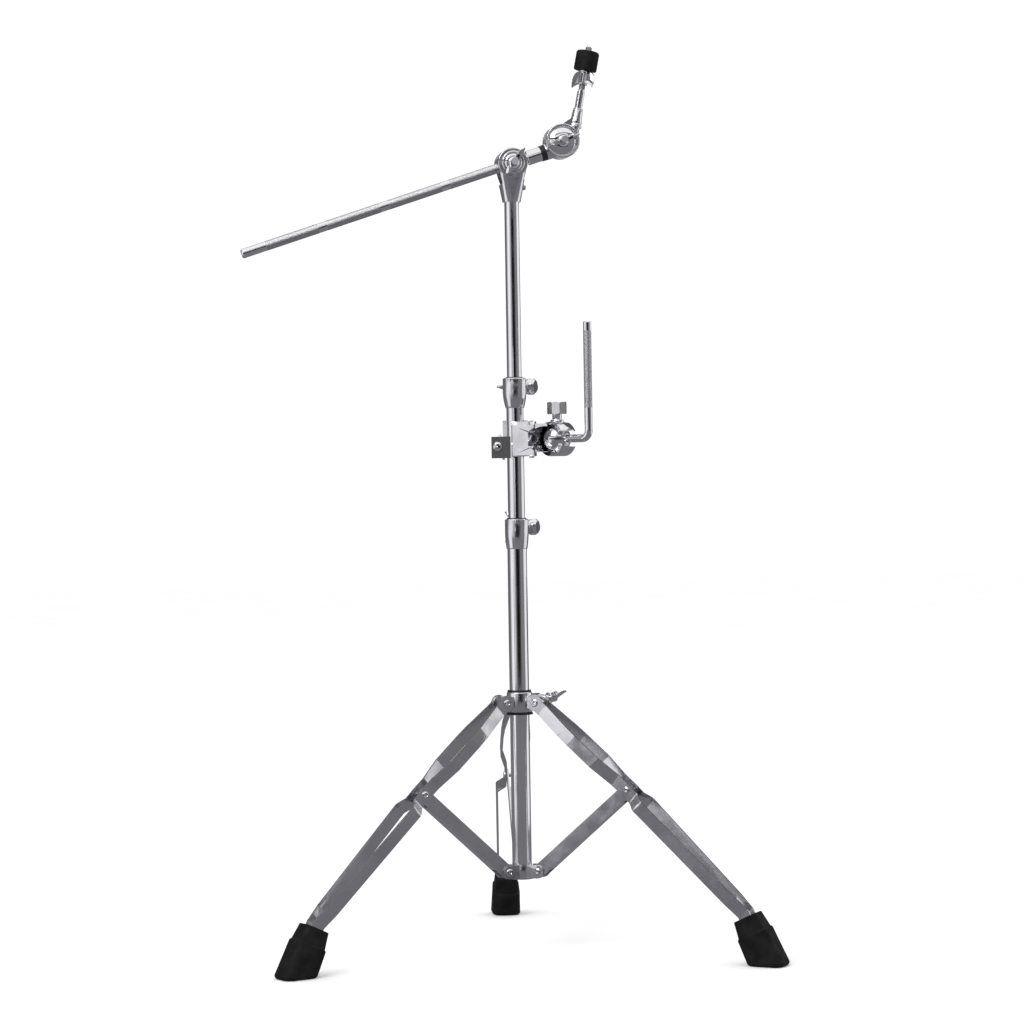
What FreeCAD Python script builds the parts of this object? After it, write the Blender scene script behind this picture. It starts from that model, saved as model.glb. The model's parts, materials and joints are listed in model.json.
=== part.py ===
"""Cymbal boom stand with a double-braced tripod and a clamp that holds an L-rod.

The origin is on the floor under the column's axis.  +Z is up and +X is the way the boom rises.
Every length is in millimetres and every angle in degrees.
"""
import FreeCAD, Part
import math
import os

# ---- driving dimensions -----------------------------------------------------------------
# Telescoping column
BASE_TUBE_RADIUS = 12.7
MIDDLE_TUBE_RADIUS = 11.1
UPPER_TUBE_RADIUS = 9.55
TUBE_WALL = 1.1
BASE_TUBE_ENDS = (96.0, 545.0)
MIDDLE_TUBE_ENDS = (250.0, 728.0)
UPPER_TUBE_ENDS = (460.0, 1000.0)
LOWER_COLLAR_TOP = 562.0
UPPER_COLLAR_TOP = 745.0
COLLAR_HEIGHT = 39.0
COLLAR_TOP_RADIUS = 15.4
COLLAR_EAR_AZIMUTH = 58.0
COLLAR_TAPER = 22.0
COLLAR_BOLT_OFFSET = 23.5

# Tripod: the leg from hub pivot to knee is as long as the strut from bracket pivot to knee
LEG_AZIMUTHS = (85.0, 205.0, 325.0)
LINK_LENGTH = 168.0
SPREAD_ANGLE = 49.3
PIVOT_RADIUS = 26.5
BRACKET_PIVOT_Z = 104.5
HUB_PIVOT_Z = BRACKET_PIVOT_Z + 2 * LINK_LENGTH * math.cos(math.radians(SPREAD_ANGLE))
SHIN_ANGLE = 46.4
FOOT_ANGLE = 25.5
FOOT_CENTRE_RADIUS = 342.0
STRIP_HEIGHT = 16.5
STRIP_THICKNESS = 2.5
STRUT_HEIGHT = 17.0
STRUT_HALF_WIDTH = 7.8
RIVET_RADIUS = 3.0
HUB_WING_AZIMUTH = 25.0

# Boom
BOOM_TILTER_Z = 1023.0
BOOM_ANGLE = 18.25
BOOM_ROD_RADIUS = 6.35
BOOM_TUBE_RADIUS = 9.55
BOOM_LEFT_END = -369.6
BOOM_ROD_END = 47.0
BOOM_TILTER_RADIUS = 19.5
BAND_CENTRES = (-91.4, -175.3, -259.8)
BAND_LENGTH = 12.0
POLISHED_TIP_LENGTH = 33.0

# Cymbal post
POST_TILTER_ALONG = 72.0
POST_TILTER_ABOVE = 6.5
POST_TILTER_RADIUS = 22.3
POST_LEAN = 11.0
POST_OFFSET = 16.0
POST_Y = 6.7
POST_SHANK_RADIUS = 5.0
CYMBAL_ROD_RADIUS = 4.0
POST_TOP = 130.0
STOPPER_BOTTOM = POST_TOP - 31.5
STOPPER_HEIGHT = 25.0

# Pad clamp on the middle tube, built facing -Y and then turned about the column
PAD_CLAMP_AZIMUTH = -17.0
PAD_CLAMP_BOTTOM = 643.0
PAD_CLAMP_TOP = 688.0
BALL_CENTRE = FreeCAD.Vector(54.8, 1.6, 665.0)
BALL_RADIUS = 18.0
HOLDER_RADIUS = 22.5
L_ROD_RADIUS = 5.25
L_ROD_AZIMUTH = -37.0
L_ROD_REACH = 56.4
L_ROD_TOP = 815.0
L_ROD_BEND = 11.0

# Fits
RUNNING = 0.06
GAP = 0.3

X_AXIS = FreeCAD.Vector(1, 0, 0)
Y_AXIS = FreeCAD.Vector(0, 1, 0)
Z_AXIS = FreeCAD.Vector(0, 0, 1)
ORIGIN = FreeCAD.Vector(0, 0, 0)


# ---- general helpers --------------------------------------------------------------------
def direction(azimuth, tilt=0.0):
    """Unit vector at an azimuth about Z, raised by a tilt."""
    a = math.radians(azimuth)
    t = math.radians(tilt)
    return FreeCAD.Vector(math.cos(a) * math.cos(t), math.sin(a) * math.cos(t), math.sin(t))


def cylinder(radius, start, axis, length):
    return Part.makeCylinder(radius, length, start, axis)


def upright(radius, bottom, top):
    """Cylinder on the column's axis."""
    return cylinder(radius, FreeCAD.Vector(0, 0, bottom), Z_AXIS, top - bottom)


def block(x, y, z):
    """Box from three (low, high) pairs."""
    corner = FreeCAD.Vector(x[0], y[0], z[0])
    return Part.makeBox(x[1] - x[0], y[1] - y[0], z[1] - z[0], corner)


def turned_profile(points):
    """Solid of revolution about Z from (radius, z) points."""
    outline = [FreeCAD.Vector(r, 0, z) for r, z in points]
    face = Part.Face(Part.makePolygon(outline + outline[:1]))
    return face.revolve(ORIGIN, Z_AXIS, 360)


def rotated(shape, angle, axis=Z_AXIS, about=ORIGIN):
    copy = shape.copy()
    copy.rotate(about, axis, angle)
    return copy


def moved(shape, offset):
    copy = shape.copy()
    copy.translate(offset)
    return copy


def stood_on(shape, place, axis, spin=0.0):
    """A shape built on +Z at the origin, spun about Z, then set at a place with +Z along an axis."""
    copy = rotated(shape, spin)
    stand = FreeCAD.Placement(place, FreeCAD.Rotation(Z_AXIS, axis))
    copy.Placement = stand.multiply(copy.Placement)
    return copy


def joined(first, *others):
    return first.fuse(list(others)).removeSplitter()


def prism(length, width, corner, low, high):
    """Upright block with rounded corners; each size is a (bottom, top) pair."""
    bottom = rounded_rectangle(length[0], width[0], corner[0], low)
    top = rounded_rectangle(length[1], width[1], corner[1], high)
    return Part.makeLoft([bottom, top], True, True)


def edges_of_path(points, radius):
    """Straight runs joined by tangent arcs of one radius."""
    edges = []
    here = points[0]
    for corner, after in zip(points[1:-1], points[2:]):
        into = (corner - here).normalize()
        out = (after - corner).normalize()
        half_turn = into.getAngle(out) / 2
        trim = radius * math.tan(half_turn)
        start = corner - into * trim
        end = corner + out * trim
        middle = corner + (out - into).normalize() * (radius / math.cos(half_turn) - radius)
        edges.append(Part.LineSegment(here, start).toShape())
        edges.append(Part.Arc(start, middle, end).toShape())
        here = end
    edges.append(Part.LineSegment(here, points[-1]).toShape())
    return edges


def swept(profile, points, radius):
    path = Part.Wire(edges_of_path(points, radius))
    return path.makePipeShell([profile], True, True)


def rounded_rectangle(length, width, corner, z):
    """Closed wire centred on Z: four sides and four corner arcs."""
    a = length / 2 - corner
    b = width / 2 - corner
    edges = []
    for quarter, (x, y) in enumerate(((a, b), (-a, b), (-a, -b), (a, -b))):
        centre = FreeCAD.Vector(x, y, z)
        start, middle, end = (centre + direction(90 * quarter + turn) * corner for turn in (0, 45, 90))
        if edges:
            edges.append(Part.LineSegment(edges[-1].lastVertex().Point, start).toShape())
        edges.append(Part.Arc(start, middle, end).toShape())
    last = edges[-1].lastVertex().Point
    first = edges[0].firstVertex().Point
    edges.append(Part.LineSegment(last, first).toShape())
    return Part.Wire(edges)


def rivet(grip, head_radius=5.0, head_height=1.8, shank_radius=RIVET_RADIUS):
    """Rivet along Y about the origin, with a low dimpled head at each end of its grip."""
    half = grip / 2
    solid = cylinder(shank_radius, FreeCAD.Vector(0, -half, 0), Y_AXIS, grip)
    crown = turned_profile(
        [(0, 0), (head_radius, 0), (head_radius * 0.94, head_height * 0.55),
         (head_radius * 0.7, head_height), (head_radius * 0.5, head_height),
         (head_radius * 0.38, head_height * 0.5), (0, head_height * 0.35)]
    )
    for side in (1, -1):
        solid = solid.fuse(stood_on(crown, FreeCAD.Vector(0, side * half, 0), Y_AXIS * side))
    return solid.removeSplitter()


def wing_head(span, barrel_radius, barrel_length, bore_radius=0.0, lift=5.0):
    """Wing on +Z: a round barrel and two blades that rise and narrow towards their tips."""
    barrel = turned_profile(
        [(0, 0), (barrel_radius + 1.2, 0), (barrel_radius + 1.2, 1.6), (barrel_radius, 2.4),
         (barrel_radius * 0.88, barrel_length), (0, barrel_length)]
    )
    tip = span / 2
    root = barrel_radius * 0.5
    low = FreeCAD.Vector(root, -3.2, 0)
    high = FreeCAD.Vector(root, 3.2, 0)
    nose = FreeCAD.Vector(tip, 0.4, 0)
    belly = Part.Arc(low, FreeCAD.Vector(tip * 0.62, -2.6, 0), nose)
    back = Part.Arc(nose, FreeCAD.Vector(tip * 0.55, 3.3, 0), high)
    base = Part.LineSegment(high, low)
    plan = Part.Face(Part.Wire([belly.toShape(), back.toShape(), base.toShape()]))
    blade = plan.extrude(Z_AXIS * (barrel_length + 2 * lift))
    foot = FreeCAD.Vector(root, 0, 1.6)
    heel = FreeCAD.Vector(tip * 0.75, 0, lift)
    point = FreeCAD.Vector(tip + 1, 0, barrel_length * 0.55 + lift)
    crest = FreeCAD.Vector(tip * 0.9, 0, barrel_length + lift)
    neck = FreeCAD.Vector(root, 0, barrel_length - 1.0)
    side_edges = [
        Part.Arc(foot, heel, point).toShape(),
        Part.LineSegment(point, crest).toShape(),
        Part.Arc(crest, FreeCAD.Vector(tip * 0.55, 0, barrel_length * 0.9 + 1), neck).toShape(),
        Part.LineSegment(neck, foot).toShape(),
    ]
    side = moved(Part.Face(Part.Wire(side_edges)).extrude(Y_AXIS * 12), FreeCAD.Vector(0, -6, 0))
    blade = blade.common(side)
    head = joined(barrel, blade, rotated(blade, 180))
    socket = cylinder(max(bore_radius, 2.6), FreeCAD.Vector(0, 0, barrel_length - 1.5), Z_AXIS, 4)
    head = head.cut(socket)
    if bore_radius:
        head = head.cut(cylinder(bore_radius, FreeCAD.Vector(0, 0, -1), Z_AXIS, barrel_length + 2))
    return head


def save(name, *solids):
    shape = solids[0] if len(solids) == 1 else Part.makeCompound(list(solids))
    shape.exportStep("parts/" + name + ".step")


# ---- column -----------------------------------------------------------------------------
def tube(radius, ends):
    return upright(radius, *ends).cut(upright(radius - TUBE_WALL, ends[0] - 1, ends[1] + 1))


def make_tubes():
    save("base_tube", tube(BASE_TUBE_RADIUS, BASE_TUBE_ENDS))
    save("middle_tube", tube(MIDDLE_TUBE_RADIUS, MIDDLE_TUBE_ENDS))
    save("upper_tube", tube(UPPER_TUBE_RADIUS, UPPER_TUBE_ENDS))


EAR = direction(COLLAR_EAR_AZIMUTH)
COLLAR_BOLT_AXIS = direction(COLLAR_EAR_AZIMUTH - 90)
EAR_HALF_WIDTH = 8.0
COLLAR_BOLT_DROP = 11.0
COLLAR_BOLT_RADIUS = 3.0


def collar_shell(top, foot):
    """Solid of the casting: straight near the top, drawn in along an arc to its foot."""
    bottom = top - COLLAR_HEIGHT
    draw = COLLAR_TOP_RADIUS - foot
    arc_radius = (draw ** 2 + COLLAR_TAPER ** 2) / (2 * draw)
    half_way = COLLAR_TOP_RADIUS - arc_radius + math.sqrt(arc_radius ** 2 - (COLLAR_TAPER / 2) ** 2)
    start = FreeCAD.Vector(foot, 0, bottom)
    middle = FreeCAD.Vector(half_way, 0, bottom + COLLAR_TAPER / 2)
    end = FreeCAD.Vector(COLLAR_TOP_RADIUS, 0, bottom + COLLAR_TAPER)
    lip = 1.2
    rest = [
        end,
        FreeCAD.Vector(COLLAR_TOP_RADIUS, 0, top - lip),
        FreeCAD.Vector(COLLAR_TOP_RADIUS - lip, 0, top),
        FreeCAD.Vector(0, 0, top),
        FreeCAD.Vector(0, 0, bottom),
        start,
    ]
    edges = [Part.Arc(start, middle, end).toShape()]
    edges += [Part.LineSegment(here, after).toShape() for here, after in zip(rest, rest[1:])]
    return Part.Face(Part.Wire(edges)).revolve(ORIGIN, Z_AXIS, 360)


def collar_casting(top, outer_tube, outer_tube_top):
    """Tapered casting fixed on a tube's end, split between two ears that a bolt draws together."""
    bottom = top - COLLAR_HEIGHT
    shell = collar_shell(top, outer_tube + 0.9)
    bolt_z = top - COLLAR_BOLT_DROP
    ear_height = 9.5
    ears = block(
        (8, COLLAR_BOLT_OFFSET),
        (-EAR_HALF_WIDTH, EAR_HALF_WIDTH),
        (bolt_z - ear_height, bolt_z + ear_height),
    )
    bolt_place = FreeCAD.Vector(COLLAR_BOLT_OFFSET, 0, bolt_z)
    nose = cylinder(ear_height, bolt_place - Y_AXIS * EAR_HALF_WIDTH, Y_AXIS, 2 * EAR_HALF_WIDTH)
    bolt_hole = cylinder(COLLAR_BOLT_RADIUS + RUNNING, bolt_place - Y_AXIS * 20, Y_AXIS, 40)
    slit = block((8, 40), (-1, 1), (bottom + 8, top + 1))
    casting = joined(shell, rotated(joined(ears, nose), COLLAR_EAR_AZIMUTH))
    casting = casting.cut(upright(outer_tube, bottom - 1, outer_tube_top))
    casting = casting.cut(upright(outer_tube + GAP, outer_tube_top, top + 1))
    for hollow in (bolt_hole, slit):
        casting = casting.cut(rotated(hollow, COLLAR_EAR_AZIMUTH))
    return casting


def collar_bushing(top, outer_tube, outer_tube_top, inner_tube):
    """Plastic bushing that rests on the outer tube's end and guides the inner tube."""
    low = outer_tube_top + 0.4
    sleeve = upright(outer_tube, low, top + 1.2)
    return sleeve.cut(upright(inner_tube + RUNNING, low - 1, top + 3))


def collar_bolt_place(top, along):
    """Point on a collar bolt's axis, so far from the slit."""
    return EAR * COLLAR_BOLT_OFFSET + COLLAR_BOLT_AXIS * along + Z_AXIS * (top - COLLAR_BOLT_DROP)


def collar_nut(top):
    """Rounded square nut on the ear away from the wing."""
    thickness = 12.0
    full = 19.0
    nut = joined(
        prism((17, full), (17, full), (5, 6.5), 0, 2.5),
        prism((full, full), (full, full), (6.5, 6.5), 2.5, thickness - 3),
        prism((full, 15), (full, 15), (6.5, 5.5), thickness - 3, thickness),
    )
    bore = cylinder(COLLAR_BOLT_RADIUS + RUNNING, FreeCAD.Vector(0, 0, -1), Z_AXIS, thickness - 1)
    return stood_on(nut.cut(bore), collar_bolt_place(top, EAR_HALF_WIDTH), COLLAR_BOLT_AXIS)


def collar_wing_bolt(top, spin):
    """Bolt through both ears, with its wing on the side away from the nut."""
    stand_off = 4.6
    shank_length = 2 * EAR_HALF_WIDTH + 9.0
    head = moved(wing_head(43, 5.5, 9), Z_AXIS * stand_off)
    collar = cylinder(6.7, ORIGIN, Z_AXIS, stand_off)
    shank = cylinder(COLLAR_BOLT_RADIUS, Z_AXIS * -shank_length, Z_AXIS, shank_length + 1)
    place = collar_bolt_place(top, -EAR_HALF_WIDTH - 0.2)
    return stood_on(joined(head, collar, shank), place, COLLAR_BOLT_AXIS * -1, spin)


def make_collars():
    rows = (
        ("lower", LOWER_COLLAR_TOP, BASE_TUBE_RADIUS, BASE_TUBE_ENDS[1], MIDDLE_TUBE_RADIUS, -32.0),
        ("upper", UPPER_COLLAR_TOP, MIDDLE_TUBE_RADIUS, MIDDLE_TUBE_ENDS[1], UPPER_TUBE_RADIUS, 58.0),
    )
    for name, top, outer, outer_top, inner, spin in rows:
        save(name + "_collar", collar_casting(top, outer, outer_top))
        save(name + "_bushing", collar_bushing(top, outer, outer_top, inner))
        save(name + "_collar_nut", collar_nut(top))
        save(name + "_collar_wing_bolt", collar_wing_bolt(top, spin))


# ---- tripod -----------------------------------------------------------------------------
KNEE_RADIUS = PIVOT_RADIUS + LINK_LENGTH * math.sin(math.radians(SPREAD_ANGLE))
KNEE = FreeCAD.Vector(KNEE_RADIUS, 0, (HUB_PIVOT_Z + BRACKET_PIVOT_Z) / 2)
HUB_PIVOT = FreeCAD.Vector(PIVOT_RADIUS, 0, HUB_PIVOT_Z)
BRACKET_PIVOT = FreeCAD.Vector(PIVOT_RADIUS, 0, BRACKET_PIVOT_Z)
SHIN = direction(0, SHIN_ANGLE - 90)
FOOT_AXIS = direction(0, FOOT_ANGLE - 90)
HUB_RADIUS = 16.5
HUB_SLEEVE_RADIUS = 14.2
HUB_HALF_HEIGHT = 13.5
HUB_LUG_HALF_WIDTH = 8.0
HUB_BOLT_RADIUS = 4.0
HUB_BOLT_RISE = 3.0
BRACKET_EAR_THICKNESS = 2.2
BRACKET_EAR_OFFSET = STRUT_HALF_WIDTH + GAP + BRACKET_EAR_THICKNESS / 2


def ankle():
    """Where the shin's line meets the foot's axis, in the leg's own plane."""
    slope = math.tan(math.radians(FOOT_ANGLE))
    shin_slope = math.tan(math.radians(SHIN_ANGLE))
    z = (KNEE.x + KNEE.z * shin_slope - FOOT_CENTRE_RADIUS) / (shin_slope - slope)
    return FreeCAD.Vector(FOOT_CENTRE_RADIUS - slope * z, 0, z)


def lug(pivot, half_width, nose_radius, inner_radius):
    """Tongue that reaches from the column out to a pivot, with a hole for its rivet."""
    heights = (pivot.z - nose_radius, pivot.z + nose_radius)
    bar = block((inner_radius, pivot.x), (-half_width, half_width), heights)
    nose = cylinder(nose_radius, pivot - Y_AXIS * half_width, Y_AXIS, 2 * half_width)
    return joined(bar, nose).cut(cylinder(RIVET_RADIUS, pivot - Y_AXIS * 20, Y_AXIS, 40))


def tripod_hub():
    low = HUB_PIVOT_Z - HUB_HALF_HEIGHT
    high = HUB_PIVOT_Z + HUB_HALF_HEIGHT
    ring = turned_profile(
        [(0, low), (HUB_RADIUS - 1, low), (HUB_RADIUS, low + 1),
         (HUB_RADIUS, high - 1), (HUB_RADIUS - 1, high), (0, high)]
    )
    one_lug = lug(HUB_PIVOT, HUB_LUG_HALF_WIDTH, 7.8, 10)
    lugs = [rotated(one_lug, azimuth) for azimuth in LEG_AZIMUTHS]
    boss_start = FreeCAD.Vector(10, 0, HUB_PIVOT_Z + HUB_BOLT_RISE)
    boss = rotated(cylinder(8, boss_start, X_AXIS, 20), HUB_WING_AZIMUTH)
    bore = rotated(cylinder(HUB_BOLT_RADIUS + RUNNING, boss_start, X_AXIS, 40), HUB_WING_AZIMUTH)
    return joined(ring, boss, *lugs).cut(upright(HUB_SLEEVE_RADIUS, low - 1, high + 1)).cut(bore)


def hub_sleeve():
    """Plastic sleeve inside the hub, with a flange showing at each end and a hole for the bolt's tip."""
    flange = 2.4
    low = HUB_PIVOT_Z - HUB_HALF_HEIGHT
    high = HUB_PIVOT_Z + HUB_HALF_HEIGHT
    sleeve = turned_profile(
        [(0, low - flange), (17.2, low - flange), (17.5, low), (HUB_SLEEVE_RADIUS, low),
         (HUB_SLEEVE_RADIUS, high), (15.6, high), (15.2, high + flange), (0, high + flange)]
    )
    sleeve = sleeve.cut(upright(BASE_TUBE_RADIUS + GAP, low - 4, high + 4))
    start = FreeCAD.Vector(10, 0, HUB_PIVOT_Z + HUB_BOLT_RISE)
    hole = cylinder(HUB_BOLT_RADIUS + RUNNING, start, X_AXIS, 30)
    return sleeve.cut(rotated(hole, HUB_WING_AZIMUTH))


def hub_wing_bolt():
    tip = 13.2
    seat = 45.0
    height = HUB_PIVOT_Z + HUB_BOLT_RISE
    head = stood_on(wing_head(45, 6, 12), FreeCAD.Vector(seat, 0, height), X_AXIS, 62)
    shank = cylinder(HUB_BOLT_RADIUS, FreeCAD.Vector(tip, 0, height), X_AXIS, seat - tip + 1)
    return rotated(joined(head, shank), HUB_WING_AZIMUTH)


def lower_bracket():
    """Pressed band round the foot of the base tube, closed below, with a pair of ears for each strut."""
    low = BRACKET_PIVOT_Z - 8.5
    high = BRACKET_PIVOT_Z + 8.5
    band = upright(BASE_TUBE_RADIUS + 2.4, low - 2, high)
    ear = lug(BRACKET_PIVOT, BRACKET_EAR_THICKNESS / 2, 8.5, 8)
    ears = []
    for azimuth in LEG_AZIMUTHS:
        for side in (-BRACKET_EAR_OFFSET, BRACKET_EAR_OFFSET):
            ears.append(rotated(moved(ear, Y_AXIS * side), azimuth))
    return joined(band, *ears).cut(upright(BASE_TUBE_RADIUS, low, high + 1))


def strut():
    """Channel from the bracket to the knee, open on its upper side, with rounded ends."""
    length = LINK_LENGTH
    half = STRUT_HEIGHT / 2
    wide = STRUT_HALF_WIDTH
    wall = 2.0
    bar = joined(
        block((0, length), (-wide, wide), (-half, half)),
        cylinder(half, FreeCAD.Vector(0, -wide, 0), Y_AXIS, 2 * wide),
        cylinder(half, FreeCAD.Vector(length, -wide, 0), Y_AXIS, 2 * wide),
    )
    web_start = 16.0
    inside = block((-half - 1, length + half + 1), (wall - wide, wide - wall), (wall - half, half + 1))
    bar = bar.cut(inside)
    for x in (web_start - 30, length - web_start):
        bar = bar.cut(block((x, x + 30), (wall - wide, wide - wall), (-half - 1, half)))
    for x in (0, length):
        bar = bar.cut(cylinder(RIVET_RADIUS + RUNNING, FreeCAD.Vector(x, -20, 0), Y_AXIS, 40))
    bar = rotated(bar, SPREAD_ANGLE - 90, Y_AXIS)
    return moved(bar, BRACKET_PIVOT)


def strip_side_outline():
    """The strip's outline seen from the side: a band bent at knee and ankle, round at the hub."""
    bend = ankle()
    points = [HUB_PIVOT, KNEE, bend, bend + FOOT_AXIS * 38]
    half = STRIP_HEIGHT / 2
    deep = 40.0
    pieces = []
    for start, end in zip(points, points[1:]):
        run = end - start
        bar = block((0, run.Length), (-deep, deep), (-half, half))
        pieces.append(moved(rotated(bar, math.degrees(math.atan2(-run.z, run.x)), Y_AXIS), start))
        round_radius = half + 2.2 if start is HUB_PIVOT else half
        pieces.append(cylinder(round_radius, start - Y_AXIS * deep, Y_AXIS, 2 * deep))
    return joined(*pieces)


def strip_bow():
    """The strip's run seen from above: close at the hub and the knee, bowed out after each."""
    bend = ankle()
    slope = math.degrees(math.atan2(HUB_PIVOT.z - bend.z, bend.x - HUB_PIVOT.x))
    stations = (
        (-14, 9.75), (14, 9.75), (54, 16.6), (72, 17.75), (114, 17.75), (148, 9.5), (183, 9.5),
        (194, 20.4), (318, 14.6), (362, 12.6), (386, 8.2), (440, 8.2),
    )
    path = [FreeCAD.Vector(u, w, 0) for u, w in stations]
    tall = 120.0
    t = STRIP_THICKNESS / 2
    offsets = ((-t, -tall), (t, -tall), (t, tall), (-t, tall))
    corners = [path[0] + FreeCAD.Vector(0, y, z) for y, z in offsets]
    ribbon = swept(Part.makePolygon(corners + corners[:1]), path, 5.0)
    return moved(rotated(ribbon, slope, Y_AXIS), HUB_PIVOT)


def leg_strip():
    """One of a leg's two bowed strips, on the +Y side, drilled at the hub and the knee."""
    strip = strip_side_outline().common(strip_bow())
    for pivot in (HUB_PIVOT, KNEE):
        strip = strip.cut(cylinder(RIVET_RADIUS, pivot, Y_AXIS, 30))
    return strip


def leg_rivets():
    """The knee's rivet and the two short studs that stand in the strips at the hub."""
    knee = moved(rivet(2 * (9.5 + STRIP_THICKNESS / 2)), KNEE)
    face = 9.75 + STRIP_THICKNESS / 2
    between = block((-20, 20), (-face + STRIP_THICKNESS, face - STRIP_THICKNESS), (-20, 20))
    studs = moved(rivet(2 * face).cut(between), HUB_PIVOT)
    return [knee, *studs.Solids]


def rubber_foot():
    """Rubber foot on the end of both strips: a wide skirt, a narrower top and a pocket for the leg."""
    step = 43.0
    top = 66.0
    room = 9.8
    clearance = STRIP_HEIGHT / 2 + GAP
    foot = joined(
        prism((47, 43), (41, 37), (13, 10), -14, step),
        prism((43, 39.5), (37, 33.5), (10, 9), step, step + 2),
        prism((39.5, 33.5), (33.5, 30), (9, 8), step + 2, top),
    )
    foot = foot.cut(block((-clearance, clearance), (-room, room), (26, top + 10)))
    foot = moved(rotated(foot, -FOOT_ANGLE, Y_AXIS), FreeCAD.Vector(FOOT_CENTRE_RADIUS, 0, 0))
    shin_room = block((-60, 0), (-room, room), (-clearance, clearance))
    shin_room = moved(rotated(shin_room, 90 - SHIN_ANGLE, Y_AXIS), ankle())
    foot = foot.cut(block((200, 480), (-60, 60), (-60, 0))).cut(shin_room)
    sole = [edge for edge in foot.Edges if edge.BoundBox.ZMax < 0.5]
    return foot.makeFillet(4.0, sole)


def make_tripod():
    save("lower_bracket", lower_bracket())
    save("tripod_hub", tripod_hub())
    save("hub_sleeve", hub_sleeve())
    save("hub_wing_bolt", hub_wing_bolt())
    bracket_rivet = moved(rivet(2 * BRACKET_EAR_OFFSET + BRACKET_EAR_THICKNESS), BRACKET_PIVOT)
    save("bracket_rivets", *[rotated(bracket_rivet, azimuth) for azimuth in LEG_AZIMUTHS])
    strip = leg_strip()
    mirrored = strip.mirror(ORIGIN, Y_AXIS)
    rivets = leg_rivets()
    foot = rubber_foot()
    channel = strut()
    for number, azimuth in enumerate(LEG_AZIMUTHS, 1):
        save(f"leg_{number}_strip_left", rotated(strip, azimuth))
        save(f"leg_{number}_strip_right", rotated(mirrored, azimuth))
        save(f"leg_{number}_rivets", *[rotated(piece, azimuth) for piece in rivets])
        save(f"leg_{number}_foot", rotated(foot, azimuth))
        save(f"strut_{number}", rotated(channel, azimuth))


# ---- boom -------------------------------------------------------------------------------
BOOM = direction(0, BOOM_ANGLE)
BOOM_UP = direction(180, 90 - BOOM_ANGLE)
BOOM_CENTRE = FreeCAD.Vector(0, 0, BOOM_TILTER_Z)
FRONT = Y_AXIS * -1
CLAMP_HALF_DEPTH = 12.0
FRONT_EAR = (-19.4, -12.3)
REAR_EAR = (13.4, 19.0)
BOOM_HIGHEST = 48.5
BOOM_LOWEST = -30.0
BOOM_TUBE_END = 41.0
BOOM_SLEEVE_END = 48.0
TILTER_BOLT_RADIUS = 4.0
SOCKET_LENGTH = 50.0
SET_SCREW_HEIGHT = 20.0
SET_SCREW_RADIUS = 2.5
SET_SCREW_AZIMUTH = 20.0


def boom_tilter_socket():
    """Clevis on the upper tube's end: a tapered body and two round ears with the clamp between them."""
    base = BOOM_TILTER_Z - SOCKET_LENGTH
    cheek_top = BOOM_TILTER_Z - 4
    cup = prism((23.6, 38.4), (23.2, 38.4), (11.4, 8), base, cheek_top)
    ears = []
    for low, high in (FRONT_EAR, REAR_EAR):
        disc = cylinder(BOOM_TILTER_RADIUS, BOOM_CENTRE + Y_AXIS * low, Y_AXIS, high - low)
        rims = [edge for edge in disc.Edges if edge.Curve.TypeId == "Part::GeomCircle"]
        ears.append(disc.makeFillet(1.6, rims))
    gap = (FRONT_EAR[1], REAR_EAR[0])
    throat = cylinder(BOOM_TILTER_RADIUS + 0.2, BOOM_CENTRE + Y_AXIS * gap[0], Y_AXIS, gap[1] - gap[0])
    room_left = block((-60, 0), gap, (-BOOM_ROD_RADIUS - 0.7, 60))
    room_right = block((0, 60), gap, (-BOOM_TUBE_RADIUS - 0.7, 60))
    casting = joined(cup, *ears).cut(throat)
    for room, angle in ((room_left, BOOM_HIGHEST), (room_right, BOOM_LOWEST)):
        casting = casting.cut(moved(rotated(room, -angle, Y_AXIS), BOOM_CENTRE))
    casting = casting.cut(upright(UPPER_TUBE_RADIUS, base - 1, UPPER_TUBE_ENDS[1]))
    bolt_hole = cylinder(TILTER_BOLT_RADIUS + RUNNING, BOOM_CENTRE - Y_AXIS * 30, Y_AXIS, 30)
    screw_hole = cylinder(TILTER_BOLT_RADIUS, BOOM_CENTRE, Y_AXIS, 30)
    set_screw_start = FreeCAD.Vector(0, 0, base + SET_SCREW_HEIGHT)
    set_screw_hole = cylinder(SET_SCREW_RADIUS, set_screw_start, direction(SET_SCREW_AZIMUTH), 40)
    return casting.cut(bolt_hole).cut(screw_hole).cut(set_screw_hole)


def socket_set_screw():
    """Small screw that locks the socket to the upper tube."""
    place = FreeCAD.Vector(0, 0, BOOM_TILTER_Z - SOCKET_LENGTH + SET_SCREW_HEIGHT)
    out = direction(SET_SCREW_AZIMUTH)
    shank = cylinder(SET_SCREW_RADIUS, place + out * UPPER_TUBE_RADIUS, out, 10)
    head = cylinder(3.6, place + out * 17.2, out, 2.6)
    return joined(shank, head)


def boom_tilter_washer():
    room = REAR_EAR[0] - CLAMP_HALF_DEPTH
    ring = cylinder(16.5, BOOM_CENTRE + Y_AXIS * (CLAMP_HALF_DEPTH + 0.1), Y_AXIS, room - 0.2)
    return ring.cut(cylinder(TILTER_BOLT_RADIUS + 0.5, BOOM_CENTRE, Y_AXIS, 20))


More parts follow.
